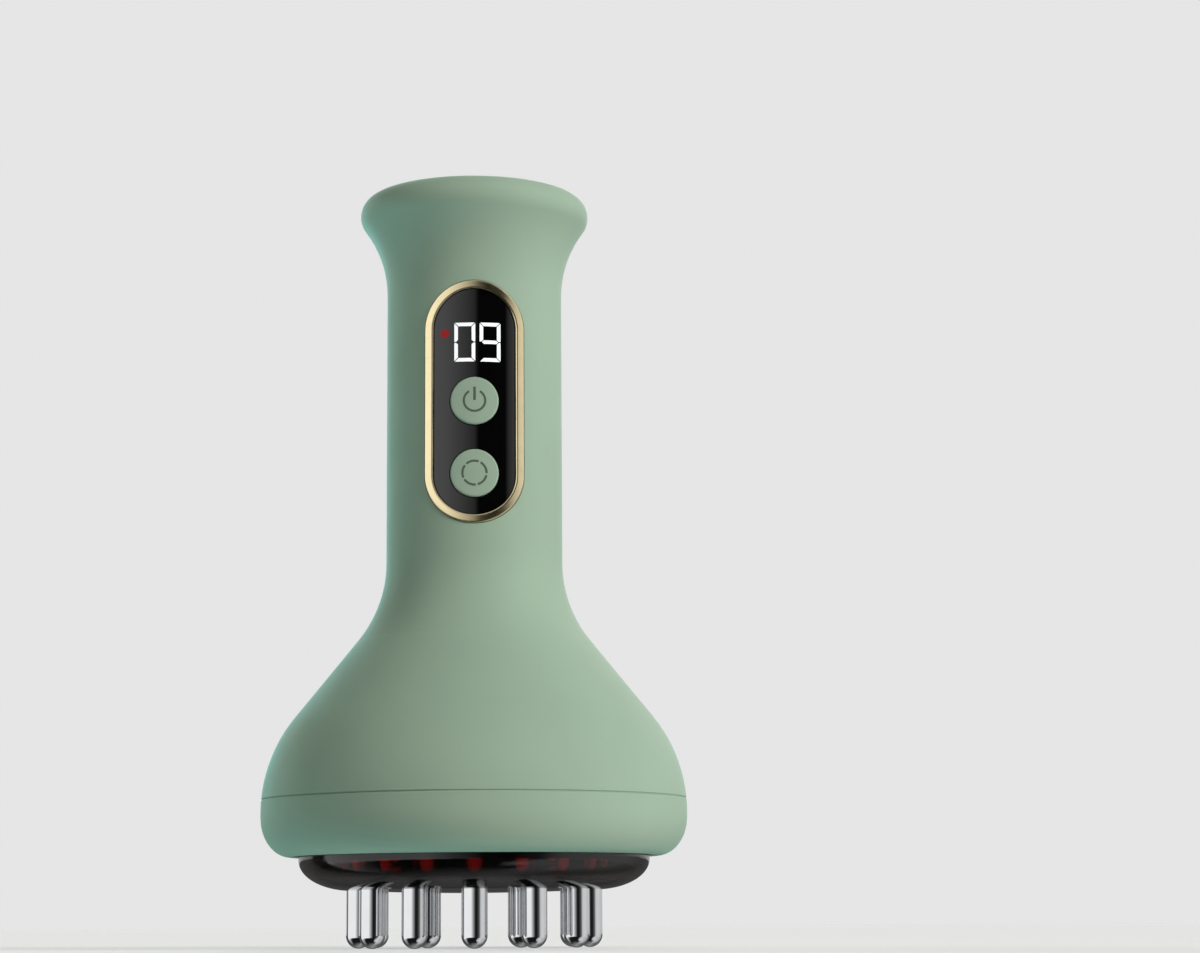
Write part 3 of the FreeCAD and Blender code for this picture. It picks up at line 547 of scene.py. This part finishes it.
def sun(name, azimuth, elevation, strength, softness, colour=(1, 1, 1)):
    """Even soft light that reflections don't show."""
    light = bpy.data.lights.new(name, "SUN")
    light.energy = strength
    light.angle = math.radians(softness)
    light.color = colour
    piece = add_object(name, light)
    piece.rotation_euler = Vector(direction(azimuth, elevation)).to_track_quat("Z", "Y").to_euler()
    piece.visible_glossy = False


def seen_rays(tree):
    """One for the rays that show the background: straight, reflected or through glass; else zero."""
    path = tree.nodes.new("ShaderNodeLightPath")
    seen = path.outputs["Is Camera Ray"]
    for ray in ("Is Glossy Ray", "Is Transmission Ray"):
        either = tree.nodes.new("ShaderNodeMath")
        either.operation = "MAXIMUM"
        tree.links.new(seen, either.inputs[0])
        tree.links.new(path.outputs[ray], either.inputs[1])
        seen = either.outputs[0]
    return seen


# Floor: a plain base colour for the light it throws back, and a lift that makes it pale where it is seen

floor_colours = ((0.465, 0.44, 0.445, 1), (0.49, 0.465, 0.47, 1))
floor_patch = 6.0
floor_rough = 0.9
floor_lift = 0.445
floor_reach = 4.0
floor_paint = bpy.data.materials.new("floor_paint")
floor_paint.use_nodes = True
tree = floor_paint.node_tree
shader = tree.nodes["Principled BSDF"]
shader.inputs["Roughness"].default_value = floor_rough
shader.inputs["Specular IOR Level"].default_value = 0.0
shader.inputs["Emission Color"].default_value = (1, 1, 1, 1)
ramp = tree.nodes.new("ShaderNodeValToRGB")
for stop, colour in zip(ramp.color_ramp.elements, floor_colours):
    stop.color = colour
tree.links.new(noise(tree, floor_patch, grain_detail), ramp.inputs["Fac"])
tree.links.new(ramp.outputs["Color"], shader.inputs["Base Color"])
lift = tree.nodes.new("ShaderNodeMapRange")
lift.inputs["To Max"].default_value = floor_lift
tree.links.new(seen_rays(tree), lift.inputs["Value"])
tree.links.new(lift.outputs["Result"], shader.inputs["Emission Strength"])
corners = [(x * floor_reach, y * floor_reach, 0) for x, y in ((-1, -1), (1, -1), (1, 1), (-1, 1))]
stage_piece("floor", corners, [(0, 1, 2, 3)], floor_paint, ("glossy", "shadow"))


# World: pale where it is seen, and a dim green as light in the shade

pale = (0.79, 0.79, 0.79, 1)
dim_green = (0.044, 0.103, 0.073, 1)
world = bpy.data.worlds.new("studio")
bpy.context.scene.world = world
world.use_nodes = True
tree = world.node_tree
shown = tree.nodes["Background"]
shown.inputs["Color"].default_value = pale
shade = tree.nodes.new("ShaderNodeBackground")
shade.inputs["Color"].default_value = dim_green
either = tree.nodes.new("ShaderNodeMixShader")
tree.links.new(seen_rays(tree), either.inputs["Fac"])
tree.links.new(shade.outputs["Background"], either.inputs[1])
tree.links.new(shown.outputs["Background"], either.inputs[2])
tree.links.new(either.outputs["Shader"], tree.nodes["World Output"].inputs["Surface"])


# Reflected light: stops of azimuth and level, from the height of the panel down to the ground

panel_levels = [
    (-180, 0.79),
    (-122, 0.79),
    (-120, 1.65),
    (-60, 1.65),
    (-45, 1.47),
    (-38, 1.45),
    (-31, 1.25),
    (-12, 0.77),
    (0, 0.42),
    (5, 0.01),
    (40, 0.01),
    (46, 0.55),
    (60, 1.2),
    (120, 1.1),
    (122, 0.79),
    (180, 0.79),
]
pin_levels = [
    (-180, 0.6),
    (-130, 0.6),
    (-127, 0.04),
    (-113, 0.04),
    (-110, 1.08),
    (-30, 1.08),
    (-12, 0.42),
    (5, 0.02),
    (23, 0.01),
    (42, 0.12),
    (54, 0.6),
    (64, 0.76),
    (90, 0.76),
    (110, 0.66),
    (180, 0.6),
]
strip_levels = [
    (-180, 0.06),
    (-130, 0.12),
    (-127, 0.04),
    (-113, 0.04),
    (-110, 1.08),
    (-30, 1.08),
    (-12, 0.42),
    (5, 0.02),
    (23, 0.01),
    (42, 0.12),
    (54, 0.6),
    (64, 0.76),
    (90, 0.74),
    (110, 0.55),
    (125, 0.3),
    (140, 0.1),
    (180, 0.06),
]
skirt_levels = [
    (-180, 0.06),
    (-130, 0.1),
    (-127, 0.01),
    (-113, 0.03),
    (-110, 0.8),
    (-85, 0.7),
    (-65, 0.05),
    (-58, 0.01),
    (28, 0.01),
    (40, 0.15),
    (50, 0.6),
    (60, 0.7),
    (110, 0.5),
    (122, 0.25),
    (140, 0.08),
    (180, 0.06),
]
tip_levels = [
    (-180, 0.1),
    (-134, 0.1),
    (-127, 0.01),
    (-113, 0.03),
    (-110, 0.6),
    (-92, 0.5),
    (-72, 0.05),
    (-64, 0.01),
    (26, 0.01),
    (36, 0.4),
    (46, 0.75),
    (110, 0.5),
    (122, 0.25),
    (135, 0.1),
    (180, 0.1),
]
low_levels = [
    (-180, 0.2),
    (-134, 0.12),
    (-120, 0.02),
    (-110, 0.4),
    (-96, 0.25),
    (-80, 0.03),
    (-70, 0.01),
    (18, 0.01),
    (28, 0.75),
    (50, 0.8),
    (100, 0.55),
    (118, 0.25),
    (135, 0.12),
    (180, 0.2),
]
deep_levels = [
    (-180, 0.35),
    (-140, 0.15),
    (-100, 0.02),
    (40, 0.01),
    (54, 0.6),
    (90, 0.5),
    (110, 0.2),
    (130, 0.12),
    (180, 0.35),
]
ground_levels = [
    (-180, 0.3),
    (-90, 0.15),
    (0, 0.15),
    (90, 0.35),
    (180, 0.3),
]
bottom_levels = [(-180, 0.25), (180, 0.25)]
light_rows = [
    (-90, bottom_levels),
    (-78, ground_levels),
    (-60, deep_levels),
    (-42, low_levels),
    (-25, tip_levels),
    (-19, skirt_levels),
    (-16, strip_levels),
    (-0.3, strip_levels),
    (0.1, pin_levels),
    (7, pin_levels),
    (8, panel_levels),
    (53, panel_levels),
]
reflector("reflected_light", light_rows)

# Bluish cards for the left edge: the lowest and highest elevation, first and last azimuth of each
edge_colour = (0.22, 0.94, 1.0)
edge_level = 4.0
edge_radius = 0.88
edge_cards = [(7, 12, -176, -142), (12, 26, -176, -154), (26, 36, -168, -154)]
for k, (lowest, highest, first, last) in enumerate(edge_cards, 1):
    stops = [(first, edge_level), (last, edge_level)]
    rows = [(lowest, stops), (highest, stops)]
    reflector("edge_light_%d" % k, rows, edge_radius, (first, last), edge_colour)

# Name, azimuth, elevation, strength, softness and, where it isn't white, the colour of each sun
suns = [
    ("key_light", 53, 21, 2.36, 26),
    ("low_key_light", 92, -55, 0.7, 40, (0.8, 1.0, 1.0)),
    ("top_light", 30, 62, 0.27, 60, (1.0, 0.94, 0.91)),
    ("front_light", 0, 20, 0.09, 40),
    ("back_light", 168, 24, 1.55, 40, (1.0, 0.96, 0.92)),
    ("rim_light", -142, 16, 1.2, 20, (0.88, 0.96, 0.95)),
    ("low_rim_light", -112, -48, 0.9, 30, (0.3, 0.9, 1.0)),
    ("under_light", 20, -78, 0.3, 60, (0.37, 0.87, 1.0)),
]
for values in suns:
    sun(*values)


# Camera, fitted to the view in the photo

camera_place = (0, -0.6, 0.0046348)
forward = Vector((0.04353983, 0.98717295, 0.15360289)).normalized()
upward = Vector((0.0, -0.15374869, 0.98810998))
sideways = forward.cross(upward).normalized()
upward = sideways.cross(forward)
camera = bpy.data.cameras.new("camera")
camera.sensor_fit = "HORIZONTAL"
camera.sensor_width = 36.0
camera.lens = 86.39
camera.clip_start = 0.01
eye = add_object("camera", camera)
turn = Matrix((sideways, upward, -forward)).transposed().to_4x4()
eye.matrix_world = Matrix.Translation(camera_place) @ turn
bpy.context.scene.camera = eye
bpy.context.scene.view_settings.view_transform = "Standard"
